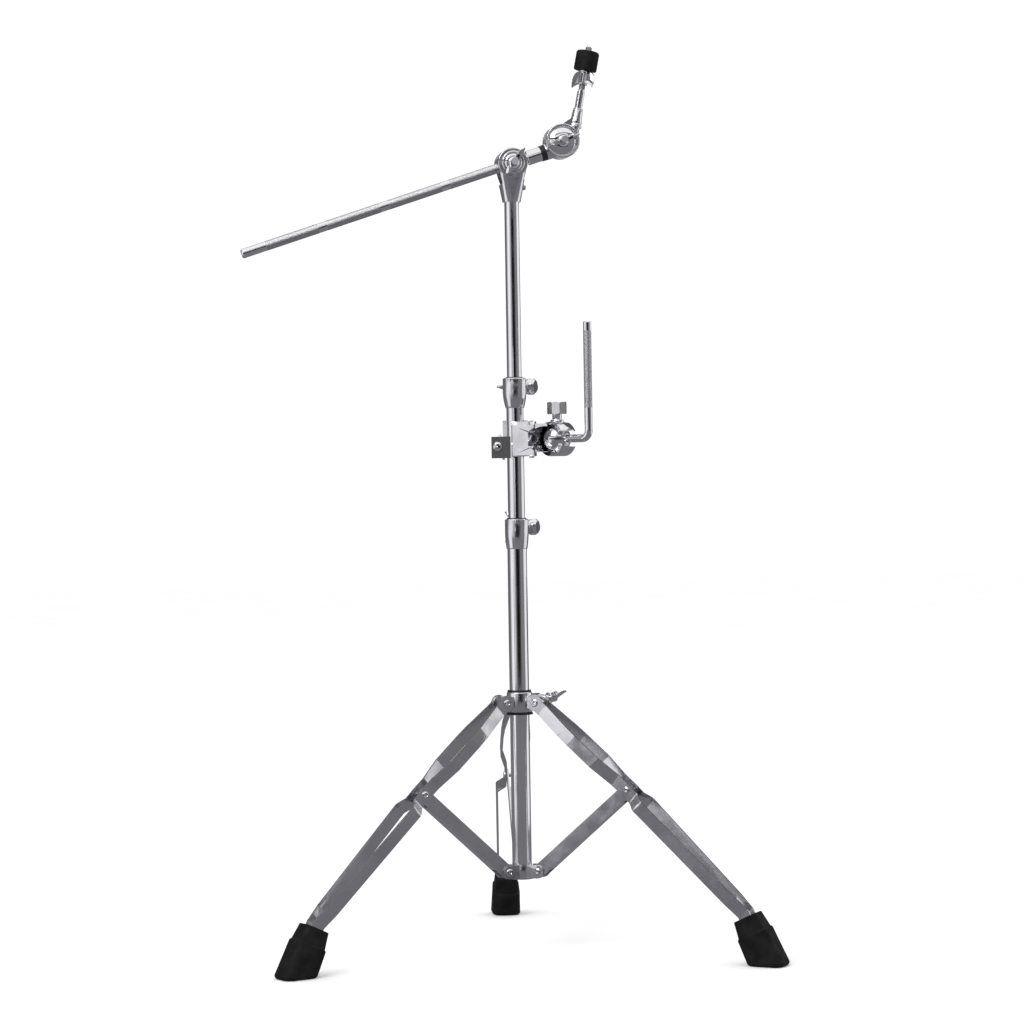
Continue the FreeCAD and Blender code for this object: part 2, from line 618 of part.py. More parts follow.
def boom_tilter_clamp():
    """Round clamp that tilts between the ears: a cup with the boom's holes through its sides."""
    front = BOOM_CENTRE - Y_AXIS * CLAMP_HALF_DEPTH
    drum = cylinder(BOOM_TILTER_RADIUS - 0.3, front, Y_AXIS, 2 * CLAMP_HALF_DEPTH)
    pocket = cylinder(11.0, front - Y_AXIS, Y_AXIS, CLAMP_HALF_DEPTH + 8)
    boom_hole = cylinder(BOOM_ROD_RADIUS + 0.4, BOOM_CENTRE - BOOM * 40, BOOM, 80)
    screw_hole = cylinder(TILTER_BOLT_RADIUS + RUNNING, BOOM_CENTRE, Y_AXIS, 20)
    return drum.cut(pocket).cut(boom_hole).cut(screw_hole)


def tilter_cap(centre, radius, back, thickness):
    """Front cap: a rim, a groove and a dome with a flat seat and the bolt's hole in its middle."""
    hole = TILTER_BOLT_RADIUS + GAP
    seat = 8.0
    groove = thickness * 0.42
    rim = thickness * 0.62
    points = [
        (hole, 0), (radius, 0), (radius, groove), (radius - 1, rim),
        (radius * 0.86, rim), (radius * 0.83, groove), (radius * 0.79, groove),
    ]
    corners = [FreeCAD.Vector(r, 0, z) for r, z in points]
    dome_end = FreeCAD.Vector(seat, 0, thickness)
    bulge = FreeCAD.Vector(0.3, 0, 0.7)
    dome = Part.Arc(corners[-1], (corners[-1] + dome_end) * 0.5 + bulge, dome_end)
    edges = [Part.LineSegment(here, after).toShape() for here, after in zip(corners, corners[1:])]
    edges.append(dome.toShape())
    inner = FreeCAD.Vector(hole, 0, thickness)
    edges.append(Part.LineSegment(dome_end, inner).toShape())
    edges.append(Part.LineSegment(inner, corners[0]).toShape())
    cap = Part.Face(Part.Wire(edges)).revolve(ORIGIN, Z_AXIS, 360)
    return stood_on(cap, centre + Y_AXIS * back, FRONT)


def screw_head(radius, place):
    """Low round head with a sloped edge, facing +Y."""
    crown = turned_profile([(0, 0), (radius, 0), (radius, 2.5), (radius - 2, 5), (0, 5)])
    return stood_on(crown, place, Y_AXIS)


def boom_eye_bolt():
    """Bolt with a drilled head: the boom passes through it and the wing nut draws it tight."""
    head_start = BOOM_CENTRE - Y_AXIS * (CLAMP_HALF_DEPTH - 0.3)
    head = cylinder(10.6, head_start, Y_AXIS, CLAMP_HALF_DEPTH + 6.4)
    stud = cylinder(TILTER_BOLT_RADIUS, BOOM_CENTRE - Y_AXIS * 35, Y_AXIS, 30)
    bore = cylinder(BOOM_ROD_RADIUS + RUNNING, BOOM_CENTRE - BOOM * 40, BOOM, 80)
    return joined(head, stud).cut(bore)


def boom_pivot_screw():
    """Screw from behind that the clamp tilts on."""
    inner = 7.4
    outer = REAR_EAR[1] + 0.1
    shank = cylinder(TILTER_BOLT_RADIUS, BOOM_CENTRE + Y_AXIS * inner, Y_AXIS, outer - inner)
    recess = cylinder(3.2, BOOM_CENTRE + Y_AXIS * (outer + 2.5), Y_AXIS, 6)
    return joined(shank, screw_head(8.5, BOOM_CENTRE + Y_AXIS * outer)).cut(recess)


def boom_rod():
    """Boom rod with grip surfaces between plain bands, plain and chamfered at its end."""
    plain = BOOM_ROD_RADIUS - 0.15
    grip = BOOM_ROD_RADIUS
    outline = [(0, BOOM_LEFT_END), (plain - 1.2, BOOM_LEFT_END), (plain, BOOM_LEFT_END + 1.2)]
    edges = [BOOM_LEFT_END + POLISHED_TIP_LENGTH]
    for centre in reversed(BAND_CENTRES):
        edges += [centre - BAND_LENGTH / 2, centre + BAND_LENGTH / 2]
    inside = plain
    for place in edges:
        outside = grip if inside == plain else plain
        outline += [(inside, place), (outside, place)]
        inside = outside
    outline += [(inside, BOOM_ROD_END), (0, BOOM_ROD_END)]
    return stood_on(turned_profile(outline), BOOM_CENTRE, BOOM)


def boom_tube():
    """Short thick tube on the boom's raised end, round the rod."""
    start = BOOM_TILTER_RADIUS + 2.6
    bore = BOOM_ROD_RADIUS + RUNNING
    ring = turned_profile(
        [(bore, start), (BOOM_TUBE_RADIUS - 0.8, start), (BOOM_TUBE_RADIUS, start + 0.8),
         (BOOM_TUBE_RADIUS, BOOM_TUBE_END), (bore, BOOM_TUBE_END)]
    )
    return stood_on(ring, BOOM_CENTRE, BOOM)


def boom_sleeve():
    """Plastic ferrule between the thick tube and the post tilter."""
    bore = BOOM_ROD_RADIUS + RUNNING
    ring = turned_profile(
        [(bore, BOOM_TUBE_END), (BOOM_TUBE_RADIUS + 0.5, BOOM_TUBE_END),
         (BOOM_TUBE_RADIUS + 1.0, BOOM_SLEEVE_END), (bore, BOOM_SLEEVE_END)]
    )
    return stood_on(ring, BOOM_CENTRE, BOOM)


def make_boom():
    save("boom_tilter_socket", boom_tilter_socket())
    save("socket_set_screw", socket_set_screw())
    save("boom_tilter_washer", boom_tilter_washer())
    save("boom_tilter_clamp", boom_tilter_clamp())
    save("boom_tilter_cap", tilter_cap(BOOM_CENTRE, 15.0, FRONT_EAR[0] - 0.1, 5))
    save("boom_eye_bolt", boom_eye_bolt())
    save("boom_pivot_screw", boom_pivot_screw())
    nut = wing_head(45, 5.2, 10, TILTER_BOLT_RADIUS + RUNNING)
    save("boom_wing_nut", stood_on(nut, BOOM_CENTRE + Y_AXIS * (FRONT_EAR[0] - 5.3), FRONT, 52))
    save("boom_rod", boom_rod())
    save("boom_tube", boom_tube())
    save("boom_sleeve", boom_sleeve())


# ---- cymbal post ------------------------------------------------------------------------
POST_PIVOT = BOOM_CENTRE + BOOM * POST_TILTER_ALONG + BOOM_UP * POST_TILTER_ABOVE
POST = direction(0, 90 - POST_LEAN)
POST_RIGHT = direction(0, -POST_LEAN)
POST_FOOT = POST_PIVOT + POST_RIGHT * POST_OFFSET + Y_AXIS * POST_Y


def post_tilter_body():
    """Half-round casting on the boom's end: the front half of the post's tilter."""
    disc = cylinder(POST_TILTER_RADIUS, POST_PIVOT - Y_AXIS * 12, Y_AXIS, 12)
    neck_start = BOOM_CENTRE + BOOM * BOOM_SLEEVE_END
    neck = cylinder(BOOM_TUBE_RADIUS + 1.0, neck_start, BOOM, 24)
    behind = cylinder(POST_TILTER_RADIUS + 0.6, POST_PIVOT, Y_AXIS, 30)
    body = joined(disc, neck.cut(behind))
    bolt_hole = cylinder(TILTER_BOLT_RADIUS, POST_PIVOT - Y_AXIS * 30, Y_AXIS, 60)
    return body.cut(bolt_hole)


def post_arm():
    """Rear half of the tilter with the tapered sleeve that holds the post."""
    disc = cylinder(POST_TILTER_RADIUS, POST_PIVOT + Y_AXIS * GAP, Y_AXIS, 12)
    shoulder = POST_TILTER_RADIUS + 0.8
    sleeve = turned_profile(
        [(0, -4), (6.35, -4), (6.35, shoulder), (8.4, shoulder), (7.9, 27), (7.4, 28), (7.7, 29),
         (6.5, 45), (6.0, 46), (6.35, 47), (6.0, 48), (0, 48)]
    )
    corners = (
        POST_RIGHT * -19 + POST * 8,
        POST_RIGHT * 16,
        POST_RIGHT * 16 + POST * 34,
        POST_RIGHT * 9 + POST * 34,
    )
    base = POST_PIVOT + Y_AXIS * 1.2
    outline = [base + corner for corner in corners]
    web = Part.Face(Part.makePolygon(outline + outline[:1])).extrude(Y_AXIS * 10)
    arm = joined(disc, stood_on(sleeve, POST_FOOT, POST), web)
    bolt_hole = cylinder(TILTER_BOLT_RADIUS + RUNNING, POST_PIVOT - Y_AXIS * 5, Y_AXIS, 40)
    post_hole = cylinder(POST_SHANK_RADIUS, POST_FOOT + POST * 20, POST, 40)
    return arm.cut(bolt_hole).cut(post_hole)


def post_tilter_bolt():
    """Bolt through both halves, its low round head behind."""
    shank = cylinder(TILTER_BOLT_RADIUS, POST_PIVOT - Y_AXIS * 31, Y_AXIS, 44)
    return joined(shank, screw_head(9, POST_PIVOT + Y_AXIS * 12.6))


def cymbal_post():
    """Post with a thick shank and a threaded rod above it, with a groove at the stopper's top."""
    shank_top = 70.0
    stopper_top = STOPPER_BOTTOM + STOPPER_HEIGHT
    groove_radius = CYMBAL_ROD_RADIUS - 0.5
    outline = [
        (0, 20), (POST_SHANK_RADIUS, 20), (POST_SHANK_RADIUS, shank_top),
        (CYMBAL_ROD_RADIUS, shank_top + 1.5), (CYMBAL_ROD_RADIUS, stopper_top - 0.7),
        (groove_radius, stopper_top - 0.7), (groove_radius, stopper_top + 0.4),
        (CYMBAL_ROD_RADIUS, stopper_top + 0.4), (CYMBAL_ROD_RADIUS, POST_TOP - 1.2),
        (CYMBAL_ROD_RADIUS - 1.2, POST_TOP), (0, POST_TOP),
    ]
    return stood_on(turned_profile(outline), POST_FOOT, POST)


def post_wing_nut():
    """Nut under the stopper with its wings hanging down."""
    bore = CYMBAL_ROD_RADIUS + RUNNING
    nut = wing_head(42, 6.8, 18, bore, lift=4.0)
    return stood_on(nut, POST_FOOT + POST * (STOPPER_BOTTOM - 0.6), POST * -1, 55)


def cymbal_stopper():
    """Black stop that the cymbal turns against: a drum with two flat sides and a chamfered top."""
    bore = CYMBAL_ROD_RADIUS + GAP
    top = STOPPER_BOTTOM + STOPPER_HEIGHT
    drum = turned_profile(
        [(bore, STOPPER_BOTTOM), (14.2, STOPPER_BOTTOM), (15, STOPPER_BOTTOM + 1),
         (15, top - 2), (13.6, top), (bore, top)]
    )
    flats = block((-13, 13), (-20, 20), (STOPPER_BOTTOM - 5, top + 5))
    return stood_on(drum.common(flats), POST_FOOT, POST, 30)


def make_post():
    save("post_tilter_body", post_tilter_body())
    save("post_tilter_cap", tilter_cap(POST_PIVOT, POST_TILTER_RADIUS, -12.1, 7))
    save("post_tilter_bolt", post_tilter_bolt())
    nut = wing_head(44, 5.2, 10, TILTER_BOLT_RADIUS + RUNNING)
    save("post_tilter_wing_nut", stood_on(nut, POST_PIVOT - Y_AXIS * 19.4, FRONT, 18))
    save("post_arm", post_arm())
    save("cymbal_post", cymbal_post())
    save("post_wing_nut", post_wing_nut())
    save("cymbal_stopper", cymbal_stopper())


# ---- pad clamp and L-rod ----------------------------------------------------------------
L_ROD = direction(L_ROD_AZIMUTH)
HOLDER_AXIS = direction(L_ROD_AZIMUTH - 90)
HINGE_PLACE = FreeCAD.Vector(20.5, 9.5, 0)
EAR_BOLT_PLACE = FreeCAD.Vector(-21.0, 0, 656.0)
HINGE_PIN_RADIUS = 2.6
EAR_BOLT_RADIUS = 3.2
T_BOLT_RADIUS = 4.0
TUBE_BORE = MIDDLE_TUBE_RADIUS + RUNNING


def on_clamp(shape):
    """Turn a shape from the clamp's own frame to its place round the column."""
    return rotated(shape, PAD_CLAMP_AZIMUTH)


def knuckle(bottom, top, reach):
    """Hinge knuckle on the pin's axis with a bar that ties it to its casting."""
    barrel = cylinder(6, HINGE_PLACE + Z_AXIS * bottom, Z_AXIS, top - bottom)
    tie = block(reach[0], reach[1], (bottom, top))
    return joined(barrel, tie)


def pad_clamp_body():
    """Front casting: a block against the tube, an ear to the left, a neck and a C-shaped ball holder."""
    low = PAD_CLAMP_BOTTOM
    high = PAD_CLAMP_TOP
    front = block((-2, 28), (-22, -1), (low, high))
    face_edges = [edge for edge in front.Edges if abs(edge.BoundBox.YMax + 22) < 0.01]
    upper = [edge for edge in face_edges if edge.BoundBox.ZMin > high - 1]
    others = [edge for edge in face_edges if edge.BoundBox.ZMin <= high - 1]
    front = front.makeChamfer(1.2, others)
    slope = block((-10, 40), (0, 20), (0, 20))
    slope = moved(rotated(slope, 40, X_AXIS), FreeCAD.Vector(0, -22, high - 5))
    ear = block((-29, 0), (-17, -13), (low - 2, low + 26))
    neck = block((26, 44), (-17, 3), (low + 5, high - 3))
    knuckles = [knuckle(z, z + 10, ((17.4, 26.5), (-2, 9.5))) for z in (low, high - 10)]
    ring = cylinder(HOLDER_RADIUS, BALL_CENTRE - HOLDER_AXIS * 13, HOLDER_AXIS, 26)
    collar = cylinder(8.5, BALL_CENTRE + Z_AXIS * 17, Z_AXIS, 8)
    body = joined(front, ear, neck, ring, collar, *knuckles)
    seat = Part.makeSphere(BALL_RADIUS + GAP, BALL_CENTRE)
    mouth = cylinder(16.5, BALL_CENTRE - HOLDER_AXIS * 40, HOLDER_AXIS, 80)
    slot = block((9, 40), (-60, 60), (-9.5, 9.5))
    slot = moved(rotated(slot, L_ROD_AZIMUTH), BALL_CENTRE)
    bore = upright(TUBE_BORE, low - 10, high + 10)
    pin_hole = cylinder(HINGE_PIN_RADIUS, HINGE_PLACE + Z_AXIS * (low - 5), Z_AXIS, 60)
    t_bolt_hole = cylinder(T_BOLT_RADIUS + RUNNING, BALL_CENTRE, Z_AXIS, 40)
    ear_hole = cylinder(EAR_BOLT_RADIUS, EAR_BOLT_PLACE - Y_AXIS * 40, Y_AXIS, 60)
    for hollow in (seat, mouth, slot, bore, slope, pin_hole, t_bolt_hole, ear_hole):
        body = body.cut(hollow)
    return body


def pad_clamp_jaw():
    """Rear jaw round the back of the tube, hinged on the right and drawn up by the ear bolt."""
    low = PAD_CLAMP_BOTTOM
    high = PAD_CLAMP_TOP + 2
    band = upright(16.5, low, high).common(block((-20, 20), (0.5, 20), (low, high)))
    link = knuckle(low + 10.3, PAD_CLAMP_TOP - 10.3, ((8, 18), (4, 15.5)))
    ear = block((-29, -10), (-6.5, -2), (low, low + 24))
    tie = block((-16.5, -11.4), (-6.5, 1.5), (low, low + 24))
    jaw = joined(band, link, ear, tie)
    jaw = jaw.cut(upright(TUBE_BORE, low - 1, high + 1))
    jaw = jaw.cut(cylinder(HINGE_PIN_RADIUS, HINGE_PLACE + Z_AXIS * (low - 5), Z_AXIS, 60))
    return jaw.cut(cylinder(EAR_BOLT_RADIUS, EAR_BOLT_PLACE - Y_AXIS * 40, Y_AXIS, 60))


def pad_hinge_pin():
    low = PAD_CLAMP_BOTTOM - 1.5
    length = PAD_CLAMP_TOP - PAD_CLAMP_BOTTOM + 3
    pin = cylinder(HINGE_PIN_RADIUS, HINGE_PLACE + Z_AXIS * low, Z_AXIS, length)
    head = cylinder(3.8, HINGE_PLACE + Z_AXIS * (low - 0.5), Z_AXIS, 2.0)
    return joined(pin, head)


def pad_ear_bolt():
    """Round-headed bolt through both ears from the front."""
    dome = turned_profile([(0, 0), (6.5, 0), (6.0, 1.6), (4.4, 2.9), (0, 3.6)])
    head = stood_on(dome, EAR_BOLT_PLACE - Y_AXIS * 17, FRONT)
    shank = cylinder(EAR_BOLT_RADIUS, EAR_BOLT_PLACE - Y_AXIS * 17.5, Y_AXIS, 31)
    return joined(head, shank)


def l_rod_t_bolt():
    """Bolt with an eight-sided head that presses on the ball from above."""
    foot = BALL_CENTRE.z + BALL_RADIUS + GAP
    stem = upright(T_BOLT_RADIUS, foot - BALL_CENTRE.z, 26)
    collar = upright(6.2, 25.4, 33)
    corners = [direction(22.5 + 45 * k) * 13.2 for k in range(9)]
    knob = Part.Face(Part.makePolygon([c + Z_AXIS * 32 for c in corners])).extrude(Z_AXIS * 16)
    bevel = turned_profile([(0, 32), (11.8, 32), (13.4, 33.6), (13.4, 46.4), (11.8, 48), (0, 48)])
    return moved(joined(stem, collar, knob.common(bevel)), BALL_CENTRE)


def l_rod_ball():
    ball = Part.makeSphere(BALL_RADIUS, BALL_CENTRE)
    ball = ball.cut(cylinder(L_ROD_RADIUS + RUNNING, BALL_CENTRE - L_ROD * 40, L_ROD, 80))
    slit = moved(rotated(block((3, 40), (-20, 20), (-0.8, 0.8)), L_ROD_AZIMUTH), BALL_CENTRE)
    return ball.cut(slit)


def l_rod():
    """Rod bent square: one end held in the ball, the other upright for a pad's clamp."""
    start = BALL_CENTRE - L_ROD * 12
    corner = BALL_CENTRE + L_ROD * L_ROD_REACH
    top = FreeCAD.Vector(corner.x, corner.y, L_ROD_TOP - 1.5)
    profile = Part.Wire([Part.Circle(start, L_ROD, L_ROD_RADIUS).toShape()])
    rod = swept(profile, [start, corner, top], L_ROD_BEND)
    tip = Part.makeCone(L_ROD_RADIUS, L_ROD_RADIUS - 1.3, 1.5, top, Z_AXIS)
    return joined(rod, tip)


def make_pad_clamp():
    save("pad_clamp_body", on_clamp(pad_clamp_body()))
    save("pad_clamp_jaw", on_clamp(pad_clamp_jaw()))
    save("pad_hinge_pin", on_clamp(pad_hinge_pin()))
    save("pad_ear_bolt", on_clamp(pad_ear_bolt()))
    stand_off = 13.0
    spacer = cylinder(4.1, ORIGIN, Z_AXIS, stand_off)
    nut = joined(moved(wing_head(36, 5.5, 9), Z_AXIS * stand_off), spacer)
    nut = nut.cut(cylinder(EAR_BOLT_RADIUS + RUNNING, Z_AXIS * -1, Z_AXIS, 17))
    nut = stood_on(nut, EAR_BOLT_PLACE - Y_AXIS * 1.8, Y_AXIS, 80)
    save("pad_ear_wing_nut", on_clamp(nut))
    save("l_rod_t_bolt", on_clamp(l_rod_t_bolt()))
    save("l_rod_ball", on_clamp(l_rod_ball()))
    save("l_rod", on_clamp(l_rod()))


def main():
    os.makedirs("parts", exist_ok=True)
    make_tubes()
    make_collars()
    make_tripod()
    make_boom()
    make_post()
    make_pad_clamp()


if __name__ == "__main__":
    main()
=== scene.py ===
"""Looks of the cymbal boom stand: chrome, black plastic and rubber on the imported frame, in metres."""
import math

import bpy
from mathutils import Matrix, Vector
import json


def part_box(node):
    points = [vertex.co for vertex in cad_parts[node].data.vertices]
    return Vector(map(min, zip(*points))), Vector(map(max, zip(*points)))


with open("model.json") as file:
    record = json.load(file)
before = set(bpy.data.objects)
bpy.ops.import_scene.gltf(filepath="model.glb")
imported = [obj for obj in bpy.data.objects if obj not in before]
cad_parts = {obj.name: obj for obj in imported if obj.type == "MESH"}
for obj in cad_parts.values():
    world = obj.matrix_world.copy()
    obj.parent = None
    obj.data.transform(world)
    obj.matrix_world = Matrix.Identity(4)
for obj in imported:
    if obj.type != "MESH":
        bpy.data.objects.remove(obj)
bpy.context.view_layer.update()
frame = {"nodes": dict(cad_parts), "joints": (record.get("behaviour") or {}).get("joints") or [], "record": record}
nodes = frame["nodes"]
scene = bpy.context.scene
joints = {joint["name"]: joint for joint in frame["joints"]}


# ---- material helpers -------------------------------------------------------------------
class Graph:
    """A material's node tree, with one short call for each kind of node."""

    def __init__(self, name, color, metallic, roughness):
        self.material = bpy.data.materials.new(name)
        self.material.use_nodes = True
        self.tree = self.material.node_tree
        self.shader = self.tree.nodes["Principled BSDF"]
        self.shader.inputs["Base Color"].default_value = (*color, 1)
        self.shader.inputs["Metallic"].default_value = metallic
        self.shader.inputs["Roughness"].default_value = roughness
        self.place = self.new("ShaderNodeTexCoord").outputs["Object"]

    def new(self, kind, **settings):
        node = self.tree.nodes.new(kind)
        for key, value in settings.items():
            setattr(node, key, value)
        return node

    def link(self, source, target):
        self.tree.links.new(source, target)

    def noise(self, scale, detail=3.0, stretch=(1, 1, 1), rotation=(0, 0, 0)):
        mapping = self.new("ShaderNodeMapping")
        mapping.inputs["Scale"].default_value = stretch
        mapping.inputs["Rotation"].default_value = rotation
        self.link(self.place, mapping.inputs["Vector"])
        texture = self.new("ShaderNodeTexNoise")
        texture.inputs["Scale"].default_value = scale
        texture.inputs["Detail"].default_value = detail
        self.link(mapping.outputs["Vector"], texture.inputs["Vector"])
        return texture.outputs["Fac"]

    def ranged(self, value, low, high, start=0.35, end=0.65):
        node = self.new("ShaderNodeMapRange")
        node.inputs["From Min"].default_value = start
        node.inputs["From Max"].default_value = end
        node.inputs["To Min"].default_value = low
        node.inputs["To Max"].default_value = high
        self.link(value, node.inputs["Value"])
        return node.outputs["Result"]

    def colors(self, value, low, high):
        ramp = self.new("ShaderNodeValToRGB")
        ramp.color_ramp.elements[0].position = 0.3
        ramp.color_ramp.elements[1].position = 0.7
        ramp.color_ramp.elements[0].color = (*low, 1)
        ramp.color_ramp.elements[1].color = (*high, 1)
        self.link(value, ramp.inputs["Fac"])
        self.link(ramp.outputs["Color"], self.shader.inputs["Base Color"])

    def math(self, operation, first, second=0.0, third=None):
        node = self.new("ShaderNodeMath", operation=operation)
        for socket, value in zip(node.inputs, (first, second, third)):
            if value is None:
                continue
            if isinstance(value, (int, float)):
                socket.default_value = value
            else:
                self.link(value, socket)
        return node.outputs["Value"]

    def bump(self, height, strength, distance):
        node = self.new("ShaderNodeBump")
        node.inputs["Strength"].default_value = strength
        node.inputs["Distance"].default_value = distance
        self.link(height, node.inputs["Height"])
        previous = self.shader.inputs["Normal"].links
        if previous:
            self.link(previous[0].from_socket, node.inputs["Normal"])
        self.link(node.outputs["Normal"], self.shader.inputs["Normal"])

    def roughness(self, value):
        self.link(value, self.shader.inputs["Roughness"])


def polished_chrome():
    """Mirror chrome with faint handling marks."""
    g = Graph("polished_chrome", (0.80, 0.80, 0.82), 1.0, 0.05)
    g.colors(g.noise(9, 4), (0.75, 0.75, 0.77), (0.83, 0.83, 0.85))
    g.roughness(g.ranged(g.noise(26, 5), 0.035, 0.11))
    g.bump(g.noise(14, 2), 0.05, 0.002)
    return g.material


def cast_chrome():
    """Chrome on a zinc casting: the skin waves a little and is duller in patches."""
    g = Graph("cast_chrome", (0.76, 0.76, 0.78), 1.0, 0.12)
    g.colors(g.noise(30, 4), (0.69, 0.69, 0.71), (0.80, 0.80, 0.82))
    g.roughness(g.ranged(g.noise(60, 5), 0.10, 0.22))
    g.bump(g.noise(55, 3), 0.16, 0.0014)
    return g.material


# where the painted shade on the pad clamp's ear begins, measured across the clamp
CLAMP_ACROSS = (0.956, -0.292, 0.0)
CLAMP_PAINTED_SHADE_START = -0.004


def clamp_chrome_painted_shade():
    """Smooth plating on the pad clamp's front face; its ear gets painted shade, a much darker colour, and is also
    rougher.
    """
    g = Graph("clamp_chrome_painted_shade", (0.78, 0.78, 0.80), 1.0, 0.06)
    across = g.new("ShaderNodeVectorMath", operation="DOT_PRODUCT")
    g.link(g.place, across.inputs[0])
    across.inputs[1].default_value = CLAMP_ACROSS
    # painted shade: the clamp's ear side is coloured much darker to stand in for shade, and its roughness rises
    painted_shade_ear = g.math("LESS_THAN", across.outputs["Value"], CLAMP_PAINTED_SHADE_START)
    tint = g.math("MULTIPLY_ADD", painted_shade_ear, -0.8, g.ranged(g.noise(40, 4), 0.62, 0.75))
    g.colors(tint, (0.22, 0.22, 0.23), (0.82, 0.82, 0.84))
    g.roughness(g.math("MULTIPLY_ADD", painted_shade_ear, 0.26, g.ranged(g.noise(70, 5), 0.04, 0.08)))
    g.bump(g.noise(900, 2), 0.05, 0.0001)
    return g.material


def strip_chrome():
    """Chrome on rolled strip: soft and faintly streaked, with small pits."""
    g = Graph("strip_chrome", (0.70, 0.70, 0.72), 1.0, 0.2)
    g.colors(g.noise(18, 5), (0.63, 0.63, 0.65), (0.75, 0.75, 0.77))
    g.roughness(g.ranged(g.noise(40, 6), 0.12, 0.24))
    g.bump(g.noise(55, 2), 0.12, 0.0015)
    g.bump(g.noise(900, 2), 0.05, 0.0002)
    return g.material


def along_rod(g, origin, axis):
    """How far along a rod's axis, and how far round it, each point of its surface is."""
    axis = Vector(axis).normalized()
    side = axis.cross(Vector((0, 1, 0))).normalized()
    other = axis.cross(side)
    offset = g.new("ShaderNodeVectorMath", operation="SUBTRACT")
    g.link(g.place, offset.inputs[0])
    offset.inputs[1].default_value = origin
    parts = []
    for way in (axis, side, other):
        dot = g.new("ShaderNodeVectorMath", operation="DOT_PRODUCT")
        g.link(offset.outputs["Vector"], dot.inputs[0])
        dot.inputs[1].default_value = way
        parts.append(dot.outputs["Value"])
    along, across, through = parts
    return along, g.math("ARCTAN2", across, through)


def inside_runs(g, along, runs):
    """1 inside any of the runs along a rod, 0 elsewhere."""
    total = 0.0
    for low, high in runs:
        within = g.math("MULTIPLY", g.math("GREATER_THAN", along, low), g.math("LESS_THAN", along, high))
        total = g.math("ADD", total, within)
    return total


def worked_rod(name, origin, axis, runs, turns, pitch, depth):
    """Polished rod, with diamond knurling (or a thread, for no turns) on the given runs."""
    g = Graph(name, (0.76, 0.76, 0.78), 1.0, 0.1)
    along, angle = along_rod(g, origin, axis)
    worked = inside_runs(g, along, runs)
    run = g.math("MULTIPLY", along, 2 * math.pi / pitch)
    if turns:
        lead = g.math("MULTIPLY", angle, turns)
        right = g.math("SINE", g.math("ADD", run, lead))
        left = g.math("SINE", g.math("SUBTRACT", run, lead))
        relief = g.math("MULTIPLY", right, left)
    else:
        relief = g.math("SINE", g.math("ADD", run, angle))
    g.bump(g.math("MULTIPLY", relief, worked), 1.0, depth)
    smooth = g.ranged(g.noise(26, 5), 0.05, 0.12)
    g.roughness(g.math("MULTIPLY_ADD", worked, 0.16, smooth))
    tint = g.math("MULTIPLY_ADD", worked, -0.5, g.math("MULTIPLY_ADD", g.noise(24, 4), 0.5, 0.5))
    g.colors(tint, (0.58, 0.58, 0.60), (0.80, 0.80, 0.82))
    return g.material


def black_plastic():
    """Moulded plastic with a satin skin."""
    g = Graph("black_plastic", (0.010, 0.010, 0.011), 0.0, 0.42)
    g.shader.inputs["Specular IOR Level"].default_value = 0.35
    g.colors(g.noise(40, 4), (0.007, 0.007, 0.008), (0.014, 0.014, 0.015))
    g.roughness(g.ranged(g.noise(120, 4), 0.36, 0.54))
    g.bump(g.noise(1500, 2), 0.25, 0.0001)
    return g.material


def black_rubber():
    """Matt rubber with a fine moulded grain and a little dust in it."""
    g = Graph("black_rubber", (0.005, 0.005, 0.005), 0.0, 0.62)
    g.shader.inputs["Specular IOR Level"].default_value = 0.16
    g.colors(g.noise(55, 6), (0.003, 0.003, 0.003), (0.010, 0.010, 0.010))
    g.roughness(g.ranged(g.noise(80, 5), 0.5, 0.78))
    g.bump(g.noise(700, 3), 0.35, 0.0002)
    g.bump(g.noise(60, 3), 0.1, 0.001)
    return g.material


BAND_CENTRES = (-0.0914, -0.1753, -0.2598)
BAND_HALF = 0.006
PLAIN_TIP_END = -0.3366
GRIP_END = 0.1
L_ROD_RADIUS = 0.00525
L_ROD_GRIP = (0.704, 0.803)
THREAD = (-0.058, 0.01)
KNURL_PITCH = 0.0011
KNURL_DEPTH = 0.00005
THREAD_PITCH = 0.00125
THREAD_DEPTH = 0.0003


def boom_runs():
    """Knurled runs of the boom rod: all but the plain bands and the tip."""
    edges = [PLAIN_TIP_END]
    for centre in reversed(BAND_CENTRES):
        edges += [centre - BAND_HALF, centre + BAND_HALF]
    edges.append(GRIP_END)
    return list(zip(edges[::2], edges[1::2]))


def rod_materials():
    """The three worked rods' materials: boom and L-rod knurled, cymbal post threaded."""
    slide = joints["boom_slide"]
    tilt = joints["boom_tilt"]
    lift = joints["stopper_lift"]
    low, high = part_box("l_rod")
    upright = (high.x - L_ROD_RADIUS, low.y + L_ROD_RADIUS, 0.0)
    post_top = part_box("cymbal_post")[1]
    return {
        "boom_rod": worked_rod(
            "boom_grip", tilt["pos_m"], slide["axis"], boom_runs(), 40, KNURL_PITCH, KNURL_DEPTH
        ),
        "l_rod": worked_rod("l_rod_grip", upright, (0, 0, 1), [L_ROD_GRIP], 34, KNURL_PITCH, KNURL_DEPTH),
        "cymbal_post": worked_rod(
            "post_thread", post_top, lift["axis"], [THREAD], 0, THREAD_PITCH, THREAD_DEPTH
        ),
    }


SOFT_EDGES = {
    "leg_strip": ("_strip_left", "_strip_right"),
    "pressed": ("strut_", "lower_bracket", "tripod_hub"),
    "casting": ("collar", "pad_clamp", "post_arm", "post_tilter", "boom_tilter", "t_bolt", "pad_ear"),
    "wing": ("wing",),
    "moulding": ("_foot", "cymbal_stopper"),
}
EDGE_WIDTHS = {
    "leg_strip": 0.0006,
    "pressed": 0.0007,
    "casting": 0.0006,
    "wing": 0.0005,
    "moulding": 0.0012,
}
WELD_DISTANCE = 0.000005
SHARP_ANGLE = 38


